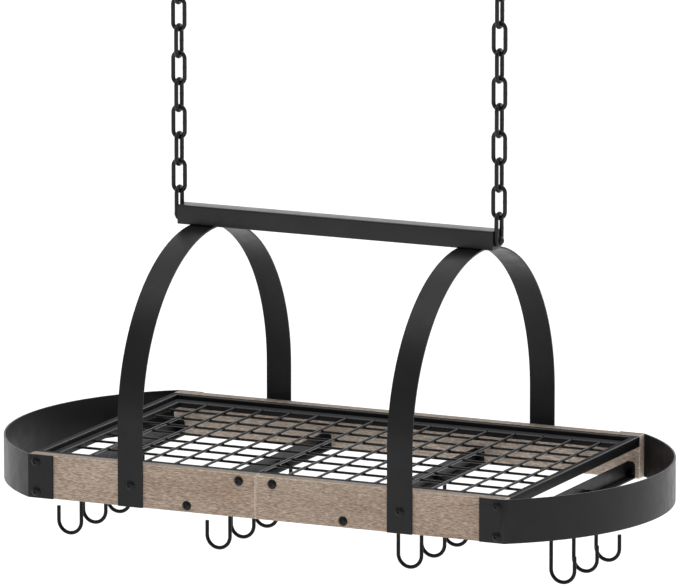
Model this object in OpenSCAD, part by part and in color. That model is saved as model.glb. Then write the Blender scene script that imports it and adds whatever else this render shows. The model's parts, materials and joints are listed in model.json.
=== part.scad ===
// Hanging pot rack. A wire shelf lies between two wooden rails and two steel end rims. Two strap
// arches carry it from a square beam, and a chain at each end of the beam hangs on a ceiling hook.
// Twelve wire hooks swing on four angle bars under the shelf.
//
// Millimetres, +Z up, the rails run along X, and the front is towards -Y.
// The origin is on the ceiling, midway between the screws of the two ceiling hooks.

/* [Wooden rails] */
// Length of a rail, two boards end to end
rail_l = 670; // [560:10:800]
// Thickness of a rail board
rail_t = 16; // [12:0.5:22]
// Height of a rail board
rail_h = 57; // [48:1:80]
// Rounding along the edges of a rail board
rail_edge_r = 1.5; // [0.5:0.5:3]
// Where the two boards of a rail meet, from the middle
seam_x = -13; // [-40:1:40]
// Gap between the two boards of a rail
seam_gap = 0.4; // [0:0.1:1]

/* [Steel straps and rims] */
// Depth of the rack over the steel straps
rack_d = 450; // [380:5:520]
// Thickness of the strap and rim plate
plate_t = 2.5; // [2:0.5:4]
// Reach of an end rim beyond the rails
rim_reach = 115; // [80:5:160]
// Width of the rim flange that lies on a rail
flange_w = 35; // [26:1:45]
// Width of an arch strap
strap_w = 35; // [25:1:50]
// Height of the straight leg of an arch above the rail bottom
arch_leg_h = 105; // [90:0.5:160]

/* [Beam] */
// Length of the beam
beam_l = 447; // [400:1:520]
// Distance of an arch's middle from the end of the beam
arch_in = 34; // [32:0.5:60]
// Width and height of the beam
beam_w = 25.4; // [20:0.2:32]
// Wall of the beam tube
beam_wall = 2; // [1.5:0.5:3]
// Rounding along the edges of the beam
beam_edge_r = 2; // [1:0.5:3]
// Length of the threaded plug in each end of the beam
plug_l = 22; // [16:1:30]

/* [Wire shelf] */
// Width of the bar around the shelf
ring_w = 9; // [7:0.5:12]
// Height of the bar around the shelf
ring_h = 14; // [12:0.5:18]
// Reach of the ledge inside this bar at the ends of the shelf
ledge_end_w = 10.3; // [6:0.1:16]
// Reach of the ledge at the front and the back
ledge_side_w = 15.5; // [8:0.5:18]
// Height of the ledge, which holds the ends of the wires
ledge_h = 7.5; // [7.5:0.5:9]
// Diameter of the shelf wires
wire_d = 3.5; // [2.5:0.5:5]
// Number of shelf wires that run along the rails
long_wires = 8; // [5:1:8]
// Distance between neighbours of these wires
long_pitch = 43.9; // [36:0.1:48]
// Number of shelf wires that run from front to back
cross_wires = 15; // [9:1:21]
// Distance of the first of these wires from the ledge at the left end
cross_in_left = 40.7; // [20:0.1:50]
// Distance of the last one from the ledge at the right end
cross_in_right = 25.9; // [20:0.1:50]
// Gap between the wires and the underside of the ledge
wire_up = 0.2; // [0:0.1:0.4]

/* [Cross bars] */
// Width of a cross bar's flat leg
bar_w = 12; // [12:0.5:16]
// Height of a cross bar's upright leg
bar_h = 22; // [18:1:30]
// Thickness of a cross bar
bar_t = 2; // [1.5:0.5:3]
// Rounding of the free corner of a cross bar's end tab
tab_r = 5; // [2:0.5:8]
// Distance of the inner cross bars from the middle of the rack
inner_bar_x = 110; // [70:5:140]

/* [Pot hooks] */
// Diameter of the hook wire
hook_d = 5; // [4:0.5:6]
// Distance between neighbouring hooks on a bar
hook_pitch = 72; // [50:1:90]
// Room between a hook's legs and the bar that they straddle
hook_room = 1.1; // [0.8:0.1:3]
// Room between a hook's arch and the corner of the bar's flat leg
hook_corner_room = 0.4; // [0.3:0.1:0.6]
// Radius of the pot bend, to the middle of the wire
hook_bend_r = 16.3; // [12:0.1:22]
// Drop of the pot bend below the rails, to the middle of the wire
hook_drop = 79; // [60:0.5:120]
// Rise of the hook's end above the lowest point of the bend, to the middle of the wire
hook_rise = 35; // [24:0.5:50]
// Drop of the hook's short leg below the rails
leg_drop = 9; // [6:0.5:16]
// Play of the hook wire in its hole
hook_play = 0.4; // [0.3:0.1:0.8]

/* [Chains] */
// Diameter of the chain wire
link_d = 5.5; // [4:0.5:6]
// Width of a chain link over its sides
link_w = 21.9; // [19:0.1:26]
// Distance from link to link
link_pitch = 35.3; // [30:0.1:42]
// Number of links in a chain, an even number
links = 10; // [6:2:10]
// Gap between pieces that hang in each other
link_gap = 0.2; // [0.2:0.1:0.5]
// Gap on each side of the bottom link, against the beam and the bolt head
link_side_gap = 0.3; // [0.3:0.1:1]

/* [Ceiling hooks] */
// Diameter of the ceiling hook's screw
screw_d = 6; // [5:0.5:7]
// Length of the screw in the ceiling
screw_l = 40; // [25:1:60]
// Length of the pointed end of the screw
screw_point = 8; // [5:1:12]
// Diameter of the ceiling hook's wire, whose end makes a shoulder against the ceiling
bow_wire_d = 7; // [7:0.5:9]
// Drop from the ceiling to the top of the bow, to the middle of the wire
neck_l = 14; // [8:1:40]
// Radius of the bow that holds the chain, to the middle of the wire
bow_r = 11; // [10:0.5:16]
// Length of the bow's straight tip
bow_tip_l = 3; // [0.5:0.5:4]

/* [Fasteners] */
// Diameter of the bolts in the rails and the beam
bolt_d = 5; // [4:0.5:5]
// Diameter of their round heads
head_d = 12.5; // [10:0.5:14]
// Height of their round heads
head_h = 3.5; // [2.5:0.5:5]
// Height of the straight rim under the dome of a head
head_rim_h = 0.8; // [0.4:0.2:1.6]
// Width of the hexagonal key hole in a head
key_w = 4; // [3:0.5:4.5]
// Depth of the key hole in a head
key_depth = 1.8; // [1:0.2:2.2]
// Diameter of the bolt that holds a chain to the beam
chain_bolt_d = 6; // [5:0.5:9]
// How far the chain bolts sit below the middle of the beam
chain_bolt_low = 0.8; // [0:0.1:2]
// Diameter of the head of the chain bolt
chain_head_d = 11.5; // [11.5:0.5:18]
// Height of the head of the chain bolt
chain_head_h = 3.5; // [3:0.5:7]
// Width of a nut across its flats
nut_w = 8; // [7:0.5:8]
// Height of a nut
nut_h = 4; // [3:0.5:6]
// Distance of the flange bolts from the end of a rail
flange_bolt_in = 11; // [10:0.5:14]
// Height of the bolts that hold the cross bars, above the rail bottom
bar_bolt_z = 8.5; // [7.5:0.5:12]
// Height of the bolts that hold the arches, above the rail bottom
strap_bolt_z = 28.5; // [26:0.5:36]
// Depth of the strap bolts in a rail
strap_bolt_in = 12; // [8:0.5:13]
// Distance of the seam bolts from the seam
seam_bolt_x = 23.5; // [15:0.5:40]
// How far the bolts in the bar around the shelf sit below its middle
ring_bolt_low = 2.5; // [0:0.5:2.5]
// Length of a bolt's end beyond its nut
bolt_proud = 1; // [0:0.5:3]

/* [Hidden] */
// Radial clearance of a bolt in a drilled hole, and in a thread
drill_slack = 0.3;
thread_slack = 0.05;
// Gap at a line of contact between a round and a flat face
seat_gap = 0.05;
// How far a cutting shape reaches past the face that it cuts
over = 1;
hooks_per_bar = 3;
$fn = 64;

// Height in a right triangle with the given base and longest side
function leg_height(base, long_side) = sqrt(pow(long_side, 2) - pow(base, 2));

// The rack's own heights are measured up from the bottom of the rails.
arch_x = beam_l / 2 - arch_in;
arch_h = arch_leg_h + rack_d / 2;
beam_z = arch_h + seat_gap + beam_w / 2;
ring_z = rail_h - ring_h;
long_wire_z = ring_z + wire_up + wire_d / 2;
cross_wire_z = long_wire_z + wire_d + seat_gap;
ring_bolt_z = ring_z + ring_h / 2 - ring_bolt_low;

// Faces of the rails, of the bar around the shelf and of its ledge
rail_out_y = rack_d / 2 - plate_t;
rail_in_y = rail_out_y - rail_t;
shelf_y = rail_in_y - ring_w;
shelf_x = rail_l / 2 - ring_w;
ledge_y = shelf_y - ledge_side_w;
ledge_x = shelf_x - ledge_end_w;

// The chain bolts lie along X, and each bottom link hangs between the beam and a bolt head.
chain_x = beam_l / 2 + link_side_gap + link_d / 2;
link_r = (link_w - link_d) / 2;
link_inner_l = link_pitch + link_gap;
chain_l = (links - 1) * link_pitch + link_inner_l;

bow_z = -neck_l - bow_r;
chain_top_z = bow_z - bow_r + bow_wire_d / 2 + link_gap;
bolt_axis_z = chain_top_z - chain_l + chain_bolt_d / 2 + link_gap;
rail_z = bolt_axis_z + chain_bolt_low - beam_z;

// Bolt positions on a rail, as distance from the middle and height above the rail bottom
flange_bolt_x = rail_l / 2 - flange_bolt_in;
flange_points = [for (x = [-1, 1], z = [bar_bolt_z, ring_bolt_z]) [x * flange_bolt_x, z]];
strap_points = [for (x = [-1, 1]) [x * arch_x, strap_bolt_z]];
bar_points = [for (x = [-1, 1]) [x * inner_bar_x, bar_bolt_z]];
seam_points = [for (x = [-1, 1]) [seam_x + x * seam_bolt_x, ring_bolt_z]];
drilled_points = concat(flange_points, bar_points, seam_points);

// Each cross bar's bolt is centred in the room between its upright leg and its free edge.
bar_bolt_xs = [-flange_bolt_x, -inner_bar_x, inner_bar_x, flange_bolt_x];
bar_mids = [for (x = bar_bolt_xs) x - bar_t / 2];
tab_y = rail_in_y - bar_t;

// A pot hook's arch is as low as the outer corner of the bar's flat leg lets it be.
hook_arch_r = bar_w / 2 + hook_room + hook_d / 2;
hook_arch_z = bar_t - leg_height(bar_w / 2, hook_arch_r - hook_d / 2 - hook_corner_room);

// The hole in the bar's upright leg takes the arch, which crosses it on a slant.
hook_hole_low = hook_arch_z + leg_height(bar_w / 2, hook_arch_r - hook_d / 2);
hook_hole_high = hook_arch_z + leg_height(bar_w / 2 - bar_t, hook_arch_r + hook_d / 2);
hook_hole_z = (hook_hole_low + hook_hole_high) / 2;
hook_hole_r = (hook_hole_high - hook_hole_low) / 2 + hook_play;
hook_bend_z = hook_bend_r - hook_drop;

steel = [0.10, 0.10, 0.11];
wire_steel = [0.14, 0.14, 0.15];
bolt_steel = [0.07, 0.07, 0.08];
wood = [0.58, 0.52, 0.45];

// ---- Shared shapes ----

// Puts what is drawn above z = 0 on the level of the rail bottom.
module on_rack() {
    translate([0, 0, rail_z]) children();
}

// Rectangle with rounded corners, centred.
module rounded_rect(w, h, r) {
    square([w - 2 * r, h], center = true);
    square([w, h - 2 * r], center = true);
    for (x = [-1, 1], y = [-1, 1]) translate([x * (w / 2 - r), y * (h / 2 - r)]) circle(r);
}

// Wire bent round a centre in the XY plane.
module wire_arc(centre, r, d, from, to) {
    translate(centre) rotate(from) rotate_extrude(angle = to - from) translate([r, 0]) circle(d = d);
}

// Straight wire in the XY plane, along Y.
module wire_run(x, from, to, d) {
    translate([x, from, 0]) rotate([-90, 0, 0]) cylinder(h = to - from, d = d);
}

// Round-headed bolt. Its head stands on the XY plane and its shank hangs below.
module bolt(d, length, head_w, head_t) {
    dome_h = head_t - head_rim_h;
    dome_r = (pow(head_w / 2, 2) + pow(dome_h, 2)) / (2 * dome_h);
    difference() {
        intersection() {
            cylinder(h = head_t, d = head_w);
            translate([0, 0, head_t - dome_r]) sphere(dome_r);
        }
        translate([0, 0, head_t - key_depth]) cylinder(h = key_depth + over, d = key_w / cos(30), $fn = 6);
    }
    translate([0, 0, -length]) cylinder(h = length, d = d);
}

// Cylinders that run inwards from both outer sides of the rack, at the given points of a rail.
module side_cylinders(points, from_y, length, d) {
    for (p = points, side = [-1, 1])
        translate([p.x, side * from_y, p.y]) rotate([side * 90, 0, 0]) cylinder(h = length, d = d);
}

// Bolts at the given points of both rails, with their heads seated on from_y.
module side_bolts(points, from_y, length) {
    for (p = points, side = [-1, 1])
        translate([p.x, side * from_y, p.y])
            rotate([-side * 90, 0, 0]) bolt(bolt_d, length, head_d, head_h);
}

module drilled_through_rail(points) {
    side_cylinders(points, rack_d / 2 + over, plate_t + rail_t + 2 * over, bolt_d + 2 * drill_slack);
}

// ---- Wire shelf ----

// Bar around the shelf, with a ledge along the foot of its inner side.
module grid_frame() {
    color(steel) on_rack() difference() {
        translate([-rail_l / 2, -rail_in_y, ring_z]) cube([rail_l, 2 * rail_in_y, ring_h]);
        translate([-shelf_x, -shelf_y, ring_z + ledge_h]) cube([2 * shelf_x, 2 * shelf_y, ring_h]);
        translate([-ledge_x, -ledge_y, ring_z - over]) cube([2 * ledge_x, 2 * ledge_y, ring_h]);
        side_cylinders(
            [for (p = concat(flange_points, seam_points)) if (p.y == ring_bolt_z) p],
            rail_in_y + over, ring_w, bolt_d + 2 * thread_slack
        );
    }
}

module grid_long_wires() {
    color(wire_steel) on_rack() for (n = [1:long_wires])
        translate([-ledge_x, (n - (long_wires + 1) / 2) * long_pitch, long_wire_z])
            rotate([0, 90, 0]) cylinder(h = 2 * ledge_x, d = wire_d);
}

module grid_cross_wires() {
    pitch = (2 * ledge_x - cross_in_left - cross_in_right) / (cross_wires - 1);
    color(wire_steel) on_rack() for (n = [1:cross_wires])
        translate([cross_in_left + (n - 1) * pitch - ledge_x, -ledge_y, cross_wire_z])
            rotate([-90, 0, 0]) cylinder(h = 2 * ledge_y, d = wire_d);
}

// ---- Rails, rims and arches ----

// One board of a rail. side is -1 in front and 1 behind, end is -1 on the left and 1 on the right.
module rail_board(side, end) {
    near = seam_x + end * seam_gap / 2;
    far = end * rail_l / 2;
    color(wood) on_rack() difference() {
        translate([min(near, far), side * (rail_in_y + rail_t / 2), rail_h / 2])
            rotate([90, 0, 90]) linear_extrude(abs(far - near)) rounded_rect(rail_t, rail_h, rail_edge_r);
        drilled_through_rail(drilled_points);
        side_cylinders(
            strap_points, rail_out_y + over, over + strap_bolt_in + seat_gap, bolt_d + 2 * thread_slack
        );
    }
}

// Bowed rim at one end, with a flange on each rail. It is drawn for the right end.
module end_rim(end) {
    r = (pow(rack_d / 2, 2) + pow(rim_reach, 2)) / (2 * rim_reach);
    color(steel) on_rack() mirror([end < 0 ? 1 : 0, 0, 0]) difference() {
        linear_extrude(rail_h) {
            difference() {
                translate([rail_l / 2 + rim_reach - r, 0]) circle(r, $fn = 160);
                translate([rail_l / 2 + rim_reach - r, 0]) circle(r - plate_t, $fn = 160);
                translate([rail_l / 2 - 3 * r, -2 * r]) square([3 * r, 4 * r]);
            }
            for (side = [-1, 1])
                translate([rail_l / 2 - flange_w, side * (rail_out_y + plate_t / 2) - plate_t / 2])
                    square([flange_w, plate_t]);
        }
        drilled_through_rail(flange_points);
    }
}

module arch(end) {
    r = rack_d / 2;
    color(steel) on_rack() difference() {
        translate([end * arch_x - strap_w / 2, 0, 0]) rotate([90, 0, 90]) linear_extrude(strap_w) {
            translate([0, arch_leg_h]) difference() {
                circle(r, $fn = 160);
                circle(r - plate_t, $fn = 160);
                translate([-2 * r, -2 * r]) square([4 * r, 2 * r]);
            }
            for (side = [-1, 1])
                translate([side * (r - plate_t / 2) - plate_t / 2, 0]) square([plate_t, arch_leg_h]);
        }
        drilled_through_rail(strap_points);
        translate([end * arch_x, 0, arch_h - plate_t - over])
            cylinder(h = plate_t + 2 * over, d = bolt_d + 2 * drill_slack);
    }
}

// ---- Beam and chain bolts ----

module top_beam() {
    color(steel) on_rack() translate([0, 0, beam_z]) difference() {
        translate([-beam_l / 2, 0, 0]) rotate([90, 0, 90]) linear_extrude(beam_l)
            difference() {
                rounded_rect(beam_w, beam_w, beam_edge_r);
                square(beam_w - 2 * beam_wall, center = true);
            }
        for (end = [-1, 1])
            translate([end * arch_x, 0, -beam_w / 2 - over])
                cylinder(h = beam_wall + 2 * over, d = bolt_d + 2 * thread_slack);
    }
}

module beam_plug(end) {
    plug_w = beam_w - 2 * beam_wall;
    color(steel) on_rack() translate([end * (beam_l - plug_l) / 2, 0, beam_z]) difference() {
        cube([plug_l, plug_w, plug_w], center = true);
        translate([0, 0, -chain_bolt_low]) rotate([0, 90, 0])
            cylinder(h = plug_l + 2 * over, d = chain_bolt_d + 2 * thread_slack, center = true);
    }
}

module chain_bolt(end) {
    stand_off = link_d + 2 * link_side_gap;
    color(bolt_steel) on_rack() translate([end * (beam_l / 2 + stand_off), 0, beam_z - chain_bolt_low])
        rotate([0, end * 90, 0]) bolt(chain_bolt_d, stand_off + plug_l, chain_head_d, chain_head_h);
}

// ---- Cross bars ----

module cross_bar(n) {
    hook_ys = [for (k = [1:hooks_per_bar]) (k - (hooks_per_bar + 1) / 2) * hook_pitch];
    color(steel) on_rack() difference() {
        translate([bar_mids[n - 1], 0, 0]) {
            translate([-bar_w / 2, -tab_y, 0]) cube([bar_t, 2 * tab_y, bar_h]);
            translate([-bar_w / 2, -tab_y, 0]) cube([bar_w, 2 * tab_y, bar_t]);
            for (side = [-1, 1])
                translate([0, side * (tab_y + bar_t / 2) + bar_t / 2, 0])
                    rotate([90, 0, 0]) linear_extrude(bar_t) end_tab();
        }
        side_cylinders(
            [[bar_bolt_xs[n - 1], bar_bolt_z]],
            rail_in_y + over, bar_t + 2 * over, bolt_d + 2 * drill_slack
        );
        for (y = hook_ys)
            translate([bar_mids[n - 1] - bar_w / 2 - over, y, hook_hole_z])
                rotate([0, 90, 0]) cylinder(h = bar_t + over + seat_gap, r = hook_hole_r);
    }
}

// Outline of the tab that closes the end of a cross bar, with its free corner rounded.
module end_tab() {
    translate([-bar_w / 2, 0]) square([bar_w - tab_r, bar_h]);
    translate([-bar_w / 2, 0]) square([bar_w, bar_h - tab_r]);
    translate([bar_w / 2 - tab_r, bar_h - tab_r]) circle(tab_r);
}

// ---- Pot hooks ----

// Hooks 1 to 3 hang on cross bar 1, 4 to 6 on cross bar 2 and so on, each set from front to back.
// A hook's long shank is on the side of its bar that faces the nearer end of the rack.
module pot_hook(n) {
    bar = floor((n - 1) / hooks_per_bar);
    place = (n - 1) % hooks_per_bar - (hooks_per_bar - 1) / 2;
    color(steel) on_rack() translate([bar_mids[bar], place * hook_pitch, 0])
        mirror([bar < 2 ? 1 : 0, 0, 0]) rotate([90, 0, 0]) pot_hook_wire();
}

module pot_hook_wire() {
    end_x = hook_arch_r + 2 * hook_bend_r;
    wire_arc([0, hook_arch_z], hook_arch_r, hook_d, 0, 180);
    wire_run(-hook_arch_r, -leg_drop, hook_arch_z, hook_d);
    wire_run(hook_arch_r, hook_bend_z, hook_arch_z, hook_d);
    wire_arc([hook_arch_r + hook_bend_r, hook_bend_z], hook_bend_r, hook_d, 180, 360);
    wire_run(end_x, hook_bend_z, hook_rise - hook_drop, hook_d);
}

// ---- Chains and ceiling hooks ----

// Link n of a chain, counted up from the beam. Odd links lie across the rack, even links along it.
module chain_link(end, n) {
    run = link_inner_l / 2 + link_d / 2 - link_r;
    middle = bolt_axis_z - chain_bolt_d / 2 - link_gap + link_inner_l / 2 + (n - 1) * link_pitch;
    color(steel) translate([end * chain_x, 0, middle]) rotate([90, 0, n % 2 == 1 ? 90 : 0]) {
        wire_arc([0, run], link_r, link_d, 0, 180);
        wire_arc([0, -run], link_r, link_d, 180, 360);
        for (x = [-1, 1]) wire_run(x * link_r, -run, run, link_d);
    }
}

module ceiling_hook(end) {
    color(steel) translate([end * chain_x, 0, 0]) rotate([90, 0, 90]) {
        wire_run(0, 0, screw_l - screw_point, screw_d);
        translate([0, screw_l - screw_point]) rotate([-90, 0, 0])
            cylinder(h = screw_point, d1 = screw_d, d2 = screw_d / 4);
        wire_run(0, -neck_l, 0, bow_wire_d);
        translate([0, -neck_l]) sphere(d = bow_wire_d);
        wire_arc([0, bow_z], bow_r, bow_wire_d, 90, 360);
        wire_run(bow_r, bow_z, bow_z + bow_tip_l, bow_wire_d);
        translate([bow_r, bow_z + bow_tip_l]) sphere(d = bow_wire_d);
    }
}

// ---- Fasteners ----

module flange_bolts() {
    bar_end = [for (p = flange_points) if (p.y == bar_bolt_z) p];
    ring_end = [for (p = flange_points) if (p.y == ring_bolt_z) p];
    color(bolt_steel) on_rack() {
        side_bolts(bar_end, rack_d / 2, plate_t + rail_t + bar_t + nut_h + bolt_proud);
        side_bolts(ring_end, rack_d / 2, plate_t + rail_t + ring_w - 2 * over);
    }
}

module strap_bolts() {
    color(bolt_steel) on_rack() side_bolts(strap_points, rack_d / 2, plate_t + strap_bolt_in);
}

module bar_bolts() {
    color(bolt_steel) on_rack() side_bolts(bar_points, rail_out_y, rail_t + bar_t + nut_h + bolt_proud);
}

module seam_bolts() {
    color(bolt_steel) on_rack() side_bolts(seam_points, rail_out_y, rail_t + ring_w - 2 * over);
}

// The head stays just clear of the curved underside of its arch.
module beam_bolts() {
    strap_in_r = rack_d / 2 - plate_t;
    sag = strap_in_r - sqrt(pow(strap_in_r, 2) - pow(head_d / 2, 2)) + seat_gap;
    color(bolt_steel) on_rack() for (end = [-1, 1])
        translate([end * arch_x, 0, arch_h - plate_t - sag]) rotate([180, 0, 0])
            bolt(bolt_d, sag + plate_t + seat_gap + beam_wall + bolt_proud, head_d, head_h);
}

// Hexagonal nuts on the bolts that hold the cross bars, seated on the tabs of the bars.
module nuts() {
    points = concat([for (p = flange_points) if (p.y == bar_bolt_z) p], bar_points);
    color(bolt_steel) on_rack() for (p = points, side = [-1, 1])
        translate([p.x, side * tab_y, p.y]) rotate([side * 90, 0, 0]) difference() {
            rotate(30) cylinder(h = nut_h, d = nut_w / cos(30), $fn = 6);
            translate([0, 0, -over]) cylinder(h = nut_h + 2 * over, d = bolt_d + 2 * thread_slack);
        }
}

// ---- The whole rack ----

grid_frame();
grid_long_wires();
grid_cross_wires();
rail_board(-1, -1);  // front_rail_left
rail_board(-1, 1);  // front_rail_right
rail_board(1, -1);  // back_rail_left
rail_board(1, 1);  // back_rail_right
end_rim(-1);  // end_rim_left
end_rim(1);  // end_rim_right
arch(-1);  // arch_left
arch(1);  // arch_right
for (n = [1:4]) cross_bar(n);
top_beam();
beam_plug(-1);  // beam_plug_left
beam_plug(1);  // beam_plug_right
chain_bolt(-1);  // chain_bolt_left
chain_bolt(1);  // chain_bolt_right
ceiling_hook(-1);  // ceiling_hook_left
ceiling_hook(1);  // ceiling_hook_right
flange_bolts();
strap_bolts();
bar_bolts();
seam_bolts();
beam_bolts();
nuts();
for (n = [1:links]) chain_link(-1, n);
for (n = [1:links]) chain_link(1, n);
for (n = [1:4 * hooks_per_bar]) pot_hook(n);
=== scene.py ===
import json
import math

import bmesh
import bpy
from mathutils import Matrix, Vector


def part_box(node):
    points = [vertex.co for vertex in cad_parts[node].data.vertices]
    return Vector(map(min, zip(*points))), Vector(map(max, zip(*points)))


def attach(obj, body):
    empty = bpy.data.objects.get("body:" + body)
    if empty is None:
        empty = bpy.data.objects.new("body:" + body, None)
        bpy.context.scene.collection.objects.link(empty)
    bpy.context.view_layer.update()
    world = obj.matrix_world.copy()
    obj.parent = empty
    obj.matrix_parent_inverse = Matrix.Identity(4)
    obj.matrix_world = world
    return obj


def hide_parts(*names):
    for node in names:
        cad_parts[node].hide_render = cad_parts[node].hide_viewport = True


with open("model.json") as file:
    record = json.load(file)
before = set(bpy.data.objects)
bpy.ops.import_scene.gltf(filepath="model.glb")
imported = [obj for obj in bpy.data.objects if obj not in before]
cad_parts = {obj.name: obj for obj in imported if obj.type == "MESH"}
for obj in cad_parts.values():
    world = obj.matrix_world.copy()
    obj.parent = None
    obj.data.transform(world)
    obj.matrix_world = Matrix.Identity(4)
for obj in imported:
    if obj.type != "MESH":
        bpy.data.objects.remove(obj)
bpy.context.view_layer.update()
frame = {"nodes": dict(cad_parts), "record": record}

MM = 0.001
# A face counts as level where its normal's part along an axis is above this.
FLAT = 0.97
SLOT_OF = {part["node"]: part["material_slot"] for part in frame["record"]["subparts"]}
BODY_OF = {node: body for body, nodes in frame["record"]["behaviour"]["bodies"].items() for node in nodes}
RAIL_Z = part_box("front_rail_left")[0].z

# ---- Camera ----

SENSOR_WIDTH = 36.0
LENS = 555.5
NEAREST, FARTHEST = 0.1, 200.0
CAMERA_PLACE = Vector((5.5686, -12.0141, RAIL_Z + 2.8499))
CAMERA_RIGHT = Vector((0.90734, 0.42040, 0.0))
CAMERA_BACK = Vector((0.41256, -0.89041, 0.19230))


def make_camera():
    """The photograph's camera: a long lens to the right of the rack and a little above it."""
    data = bpy.data.cameras.new("camera")
    data.sensor_fit = "HORIZONTAL"
    data.sensor_width = SENSOR_WIDTH
    data.lens = LENS
    data.clip_start = NEAREST
    data.clip_end = FARTHEST
    camera = bpy.data.objects.new("camera", data)
    bpy.context.scene.collection.objects.link(camera)
    back = CAMERA_BACK.normalized()
    right = (CAMERA_RIGHT - back * CAMERA_RIGHT.dot(back)).normalized()
    up = back.cross(right)
    turn = Matrix((right, up, back)).transposed().to_4x4()
    camera.matrix_world = Matrix.Translation(CAMERA_PLACE) @ turn
    bpy.context.scene.camera = camera


make_camera()


# ---- Material building ----

class Nodes:
    """A material and short calls that fill its node tree."""

    def __init__(self, name):
        self.material = bpy.data.materials.new(name)
        self.material.use_nodes = True
        self.tree = self.material.node_tree
        self.shader = self.tree.nodes["Principled BSDF"]
        self.point = self.add("ShaderNodeTexCoord").outputs["Object"]

    def add(self, kind, inputs=(), **settings):
        """A node with its settings, and with each input linked to a socket or set to a value."""
        node = self.tree.nodes.new(kind)
        for name, value in settings.items():
            setattr(node, name, value)
        for name, value in dict(inputs).items():
            self.put(node.inputs[name], value)
        return node

    def put(self, socket, value):
        if isinstance(value, bpy.types.NodeSocket):
            self.tree.links.new(value, socket)
        else:
            socket.default_value = value

    def set(self, **inputs):
        """Sets inputs of the shader: underscores stand for spaces."""
        for name, value in inputs.items():
            self.put(self.shader.inputs[name.replace("_", " ")], value)

    def stretched(self, scale, shift=(0, 0, 0), source=None):
        """Coordinates scaled and shifted along each axis, by default the object's own."""
        inputs = {"Vector": source or self.point, "Scale": scale, "Location": shift}
        return self.add("ShaderNodeMapping", inputs).outputs["Vector"]

    def noise(self, vector, scale, detail=2.0, rough=0.5, distortion=0.0):
        node = self.add("ShaderNodeTexNoise", {"Vector": vector, "Scale": scale, "Detail": detail,
                                               "Roughness": rough, "Distortion": distortion})
        return node.outputs["Fac"]

    def ramp(self, factor, *stops):
        """A colour ramp through (place, colour) stops."""
        node = self.add("ShaderNodeValToRGB", {"Fac": factor})
        ends = node.color_ramp.elements
        while len(ends) < len(stops):
            ends.new(0.5)
        for end, (place, colour) in zip(ends, stops):
            end.position = place
            end.color = (*colour, 1.0)
        return node.outputs["Color"]

    def span(self, value, low, high, to_low, to_high):
        """Maps a range of values to another, and keeps within it."""
        node = self.add("ShaderNodeMapRange", {"Value": value, "From Min": low, "From Max": high,
                                               "To Min": to_low, "To Max": to_high})
        return node.outputs["Result"]

    def mix(self, factor, a, b, mode="MIX"):
        node = self.add("ShaderNodeMix", data_type="RGBA", blend_type=mode)
        self.put(node.inputs[0], factor)
        for socket, value in ((node.inputs[6], a), (node.inputs[7], b)):
            self.put(socket, value if isinstance(value, bpy.types.NodeSocket) else (*value, 1.0))
        return node.outputs[2]

    def sum(self, a, b, how="ADD"):
        node = self.add("ShaderNodeMath", operation=how)
        self.put(node.inputs[0], a)
        self.put(node.inputs[1], b)
        return node.outputs[0]

    def bump(self, height, distance, strength=1.0):
        node = self.add("ShaderNodeBump", {"Height": height, "Distance": distance, "Strength": strength})
        self.put(self.shader.inputs["Normal"], node.outputs["Normal"])


def powder_coat(name, dark, light, rough_low, rough_high, grain=0.9 * MM, height=0.03 * MM, specular=0.4):
    """Baked black paint: a fine orange peel, with cloudy differences in tone and gloss."""
    n = Nodes(name)
    clouds = n.noise(n.point, 18.0, detail=4.0, rough=0.6)
    peel = n.noise(n.point, 1.0 / grain, detail=2.0, rough=0.6)
    specks = n.noise(n.point, 2.2 / grain, detail=1.0)
    tone = n.ramp(clouds, (0.3, dark), (0.7, light))
    n.set(
        Base_Color=n.mix(n.span(specks, 0.64, 0.72, 0.0, 0.5), tone, tuple(2.2 * c for c in light)),
        Roughness=n.span(n.noise(n.point, 60.0, detail=4.0), 0.3, 0.7, rough_low, rough_high),
        Specular_IOR_Level=specular,
    )
    n.bump(peel, height)
    return n.material


# Growth rings: how the pith slants, where it lies beside the board, and how far waves bend them, in metres
PITH_LEAN = (0.09, 1.0, 1.0)
PITH_PLACE = (0.03, 0.83)
BEND_DEPTH = 0.028
SWIRL_DEPTH = 0.007
RINGS_PER_METRE = 330.0


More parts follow.
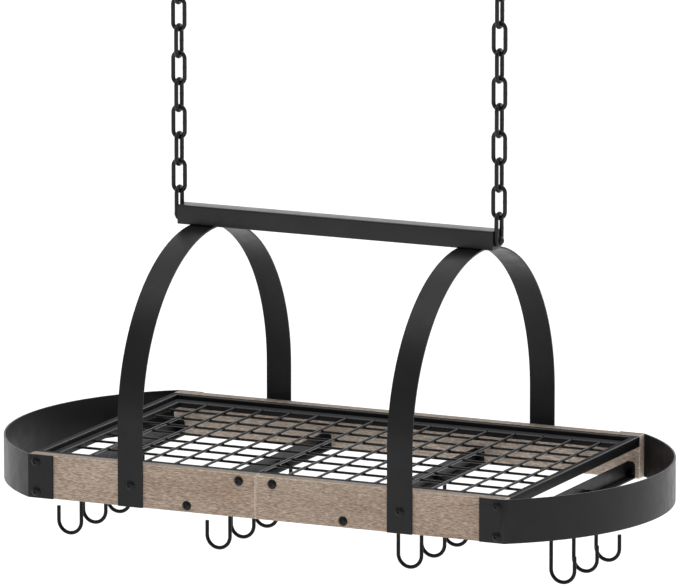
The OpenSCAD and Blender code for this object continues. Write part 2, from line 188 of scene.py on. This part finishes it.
def board_wood(name, shift, gain=1.0, grey=0.0):
    """Grey-brown stained wood. Growth rings round a pith below the board, with fibres, flecks and pores along X."""
    n = Nodes(name)
    bend = n.noise(n.stretched((5.0, 16.0, 16.0), shift), 1.0, detail=3.0, rough=0.5)
    swirl = n.noise(n.stretched((16.0, 45.0, 45.0), shift), 1.0, detail=2.0)
    lean = n.add("ShaderNodeVectorMath", {0: n.stretched(PITH_LEAN, (shift[0], *PITH_PLACE))},
                 operation="LENGTH").outputs["Value"]
    depth = n.sum(n.sum(lean, n.sum(bend, BEND_DEPTH, "MULTIPLY")), n.sum(swirl, SWIRL_DEPTH, "MULTIPLY"))
    along = n.add("ShaderNodeCombineXYZ", {"X": n.sum(depth, RINGS_PER_METRE, "MULTIPLY")}).outputs["Vector"]
    rings = n.noise(along, 1.0, detail=3.0, rough=0.6)
    fibres = n.noise(n.stretched((90.0, 1100.0, 1100.0), shift), 1.0, detail=3.0, rough=0.65, distortion=0.3)
    flecks = n.noise(n.stretched((150.0, 900.0, 900.0), shift), 1.0, detail=2.0, rough=0.6, distortion=0.25)
    pores = n.noise(n.stretched((170.0, 1500.0, 1500.0), shift), 1.0, detail=1.0, distortion=0.5)
    tone = n.noise(n.stretched((6.0, 22.0, 22.0), shift), 1.0, detail=3.0)
    warm = n.noise(n.stretched((11.0, 30.0, 30.0), (shift[0] + 4.0, shift[1], shift[2])), 1.0, detail=2.0)

    def lit(*colour):
        return tuple(gain * c for c in colour)

    base = n.ramp(tone, (0.3, lit(0.365, 0.275, 0.209)), (0.5, lit(0.415, 0.321, 0.249)),
                  (0.7, lit(0.465, 0.37, 0.293)))
    base = n.mix(n.span(warm, 0.56, 0.7, 0.0, 0.7), base, lit(0.44, 0.297, 0.22))
    base = n.mix(grey, base, lit(0.36, 0.318, 0.282))
    colour = n.mix(1.0, base, n.ramp(rings, (0.3, (0.8, 0.78, 0.76)), (0.5, (1.0, 1.0, 1.0)),
                                     (0.7, (1.09, 1.09, 1.09))), "MULTIPLY")
    colour = n.mix(1.0, colour, n.ramp(fibres, (0.3, (0.74, 0.73, 0.72)), (0.5, (1.0, 1.0, 1.0)),
                                       (0.72, (1.2, 1.2, 1.2))), "MULTIPLY")
    colour = n.mix(1.0, colour, n.ramp(flecks, (0.34, (0.66, 0.62, 0.58)), (0.5, (1.0, 1.0, 1.0)),
                                       (0.66, (1.4, 1.4, 1.39))), "MULTIPLY")
    colour = n.mix(1.0, colour, n.ramp(pores, (0.26, (0.42, 0.4, 0.38)), (0.38, (1.0, 1.0, 1.0))), "MULTIPLY")
    n.set(Base_Color=colour, Roughness=n.span(fibres, 0.3, 0.7, 0.5, 0.72), Specular_IOR_Level=0.35)
    n.bump(n.sum(fibres, pores), 0.1 * MM)
    return n.material


COAT = powder_coat("black_coat", (0.007, 0.007, 0.008), (0.011, 0.011, 0.012), 0.32, 0.42, specular=0.27)
BEAM_COAT = powder_coat("beam_coat", (0.009, 0.009, 0.01), (0.014, 0.014, 0.015), 0.22, 0.3, specular=0.33)
# Also used as painted shade on the inside of the end rims' bows.
RING_COAT = powder_coat("ring_coat", (0.005, 0.005, 0.005), (0.008, 0.008, 0.009), 0.36, 0.46, specular=0.16)
# Painted light: a paler grey, matt copy of the black coat for up-facing flat faces, standing in for the light they
# catch.
LIT_TOP_COAT = powder_coat("lit_top_coat", (0.05, 0.05, 0.051), (0.065, 0.065, 0.067), 0.6, 0.7, specular=0.0)
# Painted highlight: a bright grey, glossy copy of the black coat for the ring's up-facing roundings.
EDGE_HIGHLIGHT_COAT = powder_coat("edge_highlight_coat", (0.04, 0.04, 0.041), (0.06, 0.06, 0.062), 0.25, 0.35, specular=0.5)
SHELF_COAT = powder_coat("shelf_coat", (0.004, 0.004, 0.004), (0.007, 0.007, 0.007), 0.2, 0.28, specular=0.22)
HOOK_COAT = powder_coat("hook_coat", (0.003, 0.003, 0.004), (0.006, 0.006, 0.006), 0.26, 0.36, specular=0.16)
CHAIN_COAT = powder_coat("chain_coat", (0.005, 0.005, 0.005), (0.009, 0.009, 0.009), 0.26, 0.4, specular=0.3)
BOLT_COAT = powder_coat("bolt_coat", (0.002, 0.002, 0.002), (0.005, 0.005, 0.005), 0.22, 0.3, grain=0.5 * MM,
                        specular=0.25)
FINISHES = {"powder_coat": COAT, "shelf_wire": SHELF_COAT, "hook_wire": HOOK_COAT, "chain": CHAIN_COAT,
            "fastener": BOLT_COAT}


# ---- Pieces that stand for CAD nodes ----

def stand_in(mesh, *nodes):
    """An object with this mesh that takes the place of CAD nodes of one body and one finish."""
    slot = SLOT_OF[nodes[0]]
    piece = bpy.data.objects.new(f"{nodes[0]}_finished", mesh)
    bpy.context.scene.collection.objects.link(piece)
    if not mesh.materials:
        mesh.materials.append(FINISHES[slot])
    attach(piece, BODY_OF[nodes[0]])
    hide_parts(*nodes)
    return piece


def mesh_of(bm, name):
    mesh = bpy.data.meshes.new(name)
    bm.to_mesh(mesh)
    bm.free()
    return mesh


def coated(mesh, *materials):
    for material in materials:
        mesh.materials.append(material)
    return mesh


def smooth(mesh, angle=35.0):
    mesh.polygons.foreach_set("use_smooth", [True] * len(mesh.polygons))
    mesh.set_sharp_from_angle(angle=math.radians(angle))


def cad_shape(node):
    """A copy of the CAD node's mesh, with its points joined and each flat face in one piece."""
    bm = bmesh.new()
    bm.from_mesh(frame["nodes"][node].data)
    bmesh.ops.remove_doubles(bm, verts=bm.verts, dist=0.002 * MM)
    bmesh.ops.dissolve_limit(bm, angle_limit=math.radians(0.4), verts=bm.verts, edges=bm.edges)
    return bm


def eased(node, width):
    """The CAD node's own shape with its sharp edges rounded over and its flat faces shaded flat."""
    mesh = mesh_of(cad_shape(node), f"{node}_plain")
    smooth(mesh, 40.0)
    shape = bpy.data.objects.new(f"{node}_plain", mesh)
    bpy.context.scene.collection.objects.link(shape)
    easing = shape.modifiers.new("easing", "BEVEL")
    easing.width = width
    easing.segments = 2
    easing.limit_method = "ANGLE"
    easing.angle_limit = math.radians(30.0)
    easing.use_clamp_overlap = False
    easing.harden_normals = True
    made = bpy.data.meshes.new_from_object(shape.evaluated_get(bpy.context.evaluated_depsgraph_get()))
    made.name = f"{node}_eased"
    bpy.data.objects.remove(shape)
    made.materials.clear()
    return made


def sweep(bm, rings, closed=False, sides=20):
    """Adds a tube through (place, radius) pairs. An open one gets flat ends."""
    places = [Vector(place) for place, _ in rings]
    last = len(rings) - 1
    aside, loops = None, []
    for i, (_, radius) in enumerate(rings):
        before = places[i - 1] if closed or i else places[i]
        after = places[(i + 1) % len(places)] if closed or i < last else places[i]
        along = (after - before).normalized()
        aside = along.orthogonal() if aside is None else aside - along * aside.dot(along)
        aside.normalize()
        other = along.cross(aside)
        turns = [2 * math.pi * k / sides for k in range(sides)]
        loops.append([bm.verts.new(places[i] + radius * (math.cos(t) * aside + math.sin(t) * other)) for t in turns])
    for i in range(len(loops) if closed else last):
        low, high = loops[i], loops[(i + 1) % len(loops)]
        for k in range(sides):
            bm.faces.new((low[k], low[(k + 1) % sides], high[(k + 1) % sides], high[k]))
    if not closed:
        bm.faces.new(reversed(loops[0]))
        bm.faces.new(loops[-1])


def arc(centre, radius, start, end, steps):
    """Places on an arc in a plane, as (across, up) pairs, with angles in degrees."""
    angles = [math.radians(start + (end - start) * k / steps) for k in range(steps + 1)]
    return [(centre[0] + radius * math.cos(a), centre[1] + radius * math.sin(a)) for a in angles]


def line(a, b, steps):
    """Places along a line from a up to just before b, as (across, up) pairs."""
    return [(a[0] + (b[0] - a[0]) * k / steps, a[1] + (b[1] - a[1]) * k / steps) for k in range(steps)]


def cut_ends(places, radius, chamfer):
    """(place, radius) pairs for a cut wire with a small chamfer at both ends."""
    places = [Vector(p) for p in places]
    first = places[0] + (places[1] - places[0]).normalized() * chamfer
    final = places[-1] + (places[-2] - places[-1]).normalized() * chamfer
    inner = [(p, radius) for p in [first, *places[1:-1], final]]
    return [(places[0], radius - chamfer), *inner, (places[-1], radius - chamfer)]


def box_facts(node):
    low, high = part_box(node)
    return (low + high) / 2, high - low


WELD_SWELL = 0.055
WELD_LENGTH = 1.5 * MM


def chain_link(node):
    """A welded link: an oval of wire with the swelling of its weld halfway up one side."""
    middle, size = box_facts(node)
    along_x = size.x > size.y
    wire, wide = (size.y, size.x) if along_x else (size.x, size.y)
    bend = (wide - wire) / 2
    run = (size.z - wire) / 2 - bend
    side = line((bend, -run), (bend, run), 30)
    path = side + arc((0, run), bend, 0, 180, 22)[:-1]
    path += line((-bend, run), (-bend, -run), 8) + arc((0, -run), bend, 180, 360, 22)[:-1]
    rings = []
    for number, (across, up) in enumerate(path):
        swell = WELD_SWELL * math.exp(-(up / WELD_LENGTH) ** 2) if number < len(side) else 0.0
        offset = Vector((across, 0, up)) if along_x else Vector((0, across, up))
        rings.append((middle + offset, wire / 2 * (1 + swell)))
    bm = bmesh.new()
    sweep(bm, rings, closed=True, sides=24)
    mesh = mesh_of(bm, f"{node}_wire")
    smooth(mesh)
    stand_in(mesh, node)


HOOK_ARCH_R = 9.6 * MM
HOOK_BEND_R = 16.3 * MM
HOOK_LEG_END = RAIL_Z - 9 * MM
HOOK_TIP_END = RAIL_Z - 44 * MM


def pot_hook(node, side):
    """A bent wire hook. side is 1 where its pot bend lies towards +X."""
    middle, size = box_facts(node)
    low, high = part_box(node)
    wire = size.y
    arch_z = high.z - wire / 2 - HOOK_ARCH_R
    bend_z = low.z + wire / 2 + HOOK_BEND_R
    bar_x = (low.x if side > 0 else -high.x) + wire / 2 + HOOK_ARCH_R
    bend_x = bar_x + HOOK_ARCH_R + HOOK_BEND_R
    path = line((bar_x - HOOK_ARCH_R, HOOK_LEG_END), (bar_x - HOOK_ARCH_R, arch_z), 3)
    path += arc((bar_x, arch_z), HOOK_ARCH_R, 180, 0, 26)[:-1]
    path += line((bar_x + HOOK_ARCH_R, arch_z), (bar_x + HOOK_ARCH_R, bend_z), 6)
    path += arc((bend_x, bend_z), HOOK_BEND_R, 180, 360, 36)[:-1]
    path += line((bend_x + HOOK_BEND_R, bend_z), (bend_x + HOOK_BEND_R, HOOK_TIP_END), 3)
    path.append((bend_x + HOOK_BEND_R, HOOK_TIP_END))
    bm = bmesh.new()
    sweep(bm, cut_ends([(side * x, middle.y, z) for x, z in path], wire / 2, 0.5 * MM))
    mesh = mesh_of(bm, f"{node}_wire")
    smooth(mesh)
    stand_in(mesh, node)


# Distances of the first and the last cross wire from the ledge at the ends
CROSS_IN_LEFT = 40.7 * MM
CROSS_IN_RIGHT = 25.9 * MM
LONG_WIRES = 8
LONG_PITCH = 43.9 * MM
CROSS_WIRES = 15
# A wire's thickness near its weld: (distance from the end in mm, share of the plain radius)
FLARE = [(0.0, 1.45), (0.5, 1.25), (1.1, 1.08), (2.0, 1.0)]
CROSSING_WELD = (1.55 * MM, 1.55 * MM, 0.95 * MM, 1.0)


def shelf_wires():
    """The wires of the shelf, flared into their welds at both ends, with a weld at each crossing."""
    long_middle, long_size = box_facts("grid_long_wires")
    cross_middle, cross_size = box_facts("grid_cross_wires")
    wire = long_size.z
    half_x, half_y = long_size.x / 2, cross_size.y / 2
    pitch = (long_size.x - CROSS_IN_LEFT - CROSS_IN_RIGHT) / (CROSS_WIRES - 1)
    ys = [(n - (LONG_WIRES - 1) / 2) * LONG_PITCH for n in range(LONG_WIRES)]
    xs = [CROSS_IN_LEFT - half_x + n * pitch for n in range(CROSS_WIRES)]

    def welded(start, end):
        along = (end - start).normalized()
        near = [(start + along * (d * MM), wire / 2 * r) for d, r in FLARE]
        far = [(end - along * (d * MM), wire / 2 * r) for d, r in reversed(FLARE)]
        return near + far

    bm = bmesh.new()
    for y in ys:
        sweep(bm, welded(Vector((-half_x, y, long_middle.z)), Vector((half_x, y, long_middle.z))), sides=16)
    for x in xs:
        for y in ys:
            place = Vector((x, y, (long_middle.z + cross_middle.z) / 2))
            shape = Matrix.Translation(place) @ Matrix.Diagonal(CROSSING_WELD)
            bmesh.ops.create_icosphere(bm, subdivisions=2, radius=1.0, matrix=shape)
    mesh = mesh_of(bm, "grid_long_wires_welded")
    smooth(mesh)
    stand_in(mesh, "grid_long_wires")

    bm = bmesh.new()
    for x in xs:
        sweep(bm, welded(Vector((x, -half_y, cross_middle.z)), Vector((x, half_y, cross_middle.z))), sides=16)
    mesh = mesh_of(bm, "grid_cross_wires_welded")
    smooth(mesh)
    stand_in(mesh, "grid_cross_wires")


NECK_L = 14 * MM
BOW_R = 11 * MM
BOW_TIP = 3 * MM
BOW_START = 128
SCREW_RADIUS = 3 * MM
SCREW_POINT = 8 * MM
THREAD_PITCH = 2.6 * MM
THREAD_START = 3 * MM
THREAD_STEP = 0.26 * MM


def thread(bm, x, height, sides=28):
    """The screw above the ceiling line: a ridge that winds around it, and a point at its top."""
    steps = int(height / THREAD_STEP)
    loops = []
    for i in range(steps + 1):
        z = height * i / steps
        taper = min(1.0, 0.25 + 0.75 * (height - z) / SCREW_POINT)
        loop = []
        for k in range(sides):
            turn = 2 * math.pi * k / sides
            phase = (z / THREAD_PITCH - k / sides) % 1.0
            ridge = max(0.0, 1.0 - abs(phase - 0.5) / 0.26) if z > THREAD_START else 0.35
            radius = taper * SCREW_RADIUS * (0.72 + 0.28 * ridge)
            loop.append(bm.verts.new((x + radius * math.cos(turn), radius * math.sin(turn), z)))
        loops.append(loop)
    for lower, upper in zip(loops, loops[1:]):
        for k in range(sides):
            bm.faces.new((lower[k], lower[(k + 1) % sides], upper[(k + 1) % sides], upper[k]))
    bm.faces.new(reversed(loops[0]))
    bm.faces.new(loops[-1])


def ceiling_hook(node):
    """An open bow of wire, and above the ceiling line a threaded screw that runs to a point."""
    middle, size = box_facts(node)
    wire = size.x / 2
    bow_z = -NECK_L - BOW_R
    knee, turn = (0, -NECK_L * 0.55), arc((0, bow_z), BOW_R, 90, BOW_START, 1)[-1]
    corner = (0, -NECK_L)
    path = line((0, 0), knee, 3)
    for k in range(9):
        t = k / 8
        path.append(tuple((1 - t) ** 2 * a + 2 * t * (1 - t) * c + t ** 2 * b for a, c, b in zip(knee, corner, turn)))
    path += arc((0, bow_z), BOW_R, BOW_START, 360, 40)[1:]
    path += [(BOW_R, bow_z + BOW_TIP / 2), (BOW_R, bow_z + BOW_TIP)]
    rings = cut_ends([(middle.x, y, z) for y, z in path], wire, 0.4 * MM)
    for depth, share in ((0.55, 0.93), (0.85, 0.78), (1.0, 0.55)):
        rings.append((Vector((middle.x, BOW_R, bow_z + BOW_TIP + wire * depth)), wire * share))
    bm = bmesh.new()
    sweep(bm, rings)
    thread(bm, middle.x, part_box(node)[1].z)
    mesh = mesh_of(bm, f"{node}_wire")
    smooth(mesh, 50.0)
    stand_in(mesh, node)


# How far the edges are rounded over
BOARD_EDGE = 0.9 * MM
STRAP_EDGE = 0.45 * MM
BAR_EDGE = 0.35 * MM
FASTENER_EDGE = 0.25 * MM


def rail_board(node, number):
    """A board with painted light in copies of its wood: its upward eased edges and its ends are paler, as painted
    highlight and painted light, and its top and downward faces darker, as painted shade.
    """
    shift = (0.37 * number, 0.11 * number, 0.23 * number)
    grey = 0.5 if node.startswith("back") else 0.0
    mesh = coated(
        eased(node, BOARD_EDGE),
        board_wood(f"{node}_wood", shift, 1.0 + 0.5 * grey, grey),
        # Painted highlight: a paler copy of the wood for the upward eased edges.
        board_wood(f"{node}_highlit_edge_wood", shift, 1.5),
        # Painted light: a much paler copy of the wood for the board ends.
        board_wood(f"{node}_lit_end_wood", shift, 2.1, 0.6),
        # Painted shade: a darker copy of the wood for the top and the downward faces.
        board_wood(f"{node}_shaded_wood", shift, 0.78, 0.6),
    )
    face_wood, highlit_edge_wood, lit_end_wood, shaded_wood = range(4)
    for face in mesh.polygons:
        across, out, up = face.normal
        if abs(across) > 0.3:
            face.material_index = lit_end_wood
        elif abs(out) > FLAT:
            face.material_index = face_wood
        elif up > FLAT or up < 0:
            face.material_index = shaded_wood
        else:
            face.material_index = highlit_edge_wood
    stand_in(mesh, node)


LEDGE_H = 7.5 * MM
RING_WEAR = 1.4 * MM


def ring():
    """The bar around the shelf. The upper edges of bar and ledge are rounded over; their up-facing roundings get a
    bright coat as a painted highlight, and their flat tops a dull, paler coat as painted light.
    """
    foot, top = (corner.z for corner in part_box("grid_frame"))
    bm = cad_shape("grid_frame")

    def to_round(edge):
        away = [min(abs(v.co.z - top), abs(v.co.z - foot - LEDGE_H)) for v in edge.verts]
        return max(away) < 0.1 * MM and edge.calc_face_angle_signed(0.0) > 0.5

    rims = [edge for edge in bm.edges if to_round(edge)]
    bmesh.ops.bevel(bm, geom=rims, offset=RING_WEAR, segments=4, profile=0.5, affect="EDGES", clamp_overlap=True)
    for edge in bm.edges:
        edge.smooth = len(edge.link_faces) == 2 and edge.calc_face_angle(0.0) < math.radians(35.0)
    for face in bm.faces:
        face.smooth = True
        up = face.normal.z
        # Painted light: flat tops take the paler coat, up-facing roundings the bright painted highlight coat.
        face.material_index = 1 if up > FLAT else 2 if up > 0.1 else 0
    stand_in(coated(mesh_of(bm, "grid_frame_highlit"), RING_COAT, LIT_TOP_COAT, EDGE_HIGHLIGHT_COAT), "grid_frame")


def end_rim(node):
    """A bowed rim. The inside of its bow is painted shade: a darker coat that reflects less than the outside."""
    mesh = coated(eased(node, STRAP_EDGE), COAT, RING_COAT)
    for face in mesh.polygons:
        inwards = face.normal.x * face.center.x + face.normal.y * face.center.y < 0
        # Painted shade: the inside of the bow takes the darker ring coat.
        face.material_index = 1 if inwards and abs(face.normal.z) < 0.5 else 0
    stand_in(mesh, node)


def cross_bar(node):
    """An angle bar whose flat leg's upper side has a dull, paler coat as painted light."""
    mesh = coated(eased(node, BAR_EDGE), COAT, LIT_TOP_COAT)
    for face in mesh.polygons:
        # Painted light: up-facing flat faces take the paler coat.
        face.material_index = 1 if face.normal.z > FLAT else 0
    stand_in(mesh, node)


for name in ("arch_left", "arch_right"):
    stand_in(eased(name, STRAP_EDGE), name)
for name in ("end_rim_left", "end_rim_right"):
    end_rim(name)
for number in range(1, 5):
    cross_bar(f"cross_bar_{number}")
stand_in(coated(eased("top_beam", BAR_EDGE), BEAM_COAT), "top_beam")
for name in ("beam_plug_left", "beam_plug_right", "chain_bolt_left", "chain_bolt_right", "flange_bolts",
             "strap_bolts", "bar_bolts", "seam_bolts", "beam_bolts", "nuts"):
    stand_in(eased(name, FASTENER_EDGE), name)
for number, name in enumerate(("front_rail_left", "front_rail_right", "back_rail_left", "back_rail_right")):
    rail_board(name, number)
for side in ("left", "right"):
    ceiling_hook(f"ceiling_hook_{side}")
    for number in range(1, 11):
        chain_link(f"{side}_link_{number}")
for number in range(1, 13):
    pot_hook(f"pot_hook_{number}", -1 if number <= 6 else 1)
ring()
shelf_wires()

# ---- Stage ----

FLOOR_Z = -2.4
FLOOR_HALF = 60.0
FLOOR_GLOW = 0.55
WHITE = (1.0, 1.0, 1.0, 1.0)
# The world's strength in front of the rack and behind it
WORLD_NEAR, WORLD_FAR = 0.4, 1.05


def make_floor():
    mesh = bpy.data.meshes.new("floor")
    corners = [(-1, -1), (1, -1), (1, 1), (-1, 1)]
    mesh.from_pydata([(x * FLOOR_HALF, y * FLOOR_HALF, FLOOR_Z) for x, y in corners], [], [(0, 1, 2, 3)])
    floor = bpy.data.objects.new("floor", mesh)
    bpy.context.scene.collection.objects.link(floor)
    material = bpy.data.materials.new("floor_white")
    material.use_nodes = True
    shader = material.node_tree.nodes["Principled BSDF"]
    shader.inputs["Base Color"].default_value = (0.8, 0.8, 0.8, 1.0)
    shader.inputs["Roughness"].default_value = 0.9
    shader.inputs["Emission Color"].default_value = WHITE
    shader.inputs["Emission Strength"].default_value = FLOOR_GLOW
    mesh.materials.append(material)


def make_world():
    """An even white studio: bright behind the rack, and dimmer in front of it."""
    world = bpy.data.worlds.new("studio")
    world.use_nodes = True
    tree = world.node_tree
    background = tree.nodes["Background"]
    point = tree.nodes.new("ShaderNodeTexCoord").outputs["Generated"]
    split = tree.nodes.new("ShaderNodeSeparateXYZ")
    tree.links.new(point, split.inputs[0])
    depth = tree.nodes.new("ShaderNodeMapRange")
    tree.links.new(split.outputs["Y"], depth.inputs["Value"])
    for socket, value in (("From Min", -0.6), ("From Max", 0.5), ("To Min", WORLD_NEAR), ("To Max", WORLD_FAR)):
        depth.inputs[socket].default_value = value
    tree.links.new(depth.outputs["Result"], background.inputs["Strength"])
    background.inputs["Color"].default_value = WHITE
    bpy.context.scene.world = world


def make_softbox(name, place, aim, width, height, power):
    data = bpy.data.lights.new(name, "AREA")
    data.shape = "RECTANGLE"
    data.size = width
    data.size_y = height
    data.energy = power
    light = bpy.data.objects.new(name, data)
    bpy.context.scene.collection.objects.link(light)
    light.location = place
    light.rotation_euler = (Vector(aim) - Vector(place)).to_track_quat("-Z", "Y").to_euler()


make_floor()
make_world()
make_softbox("top_light", (-0.6, -0.8, 2.6), aim=(0, 0, -0.6), width=2.4, height=2.0, power=22.0)
bpy.context.scene.view_settings.view_transform = "Standard"
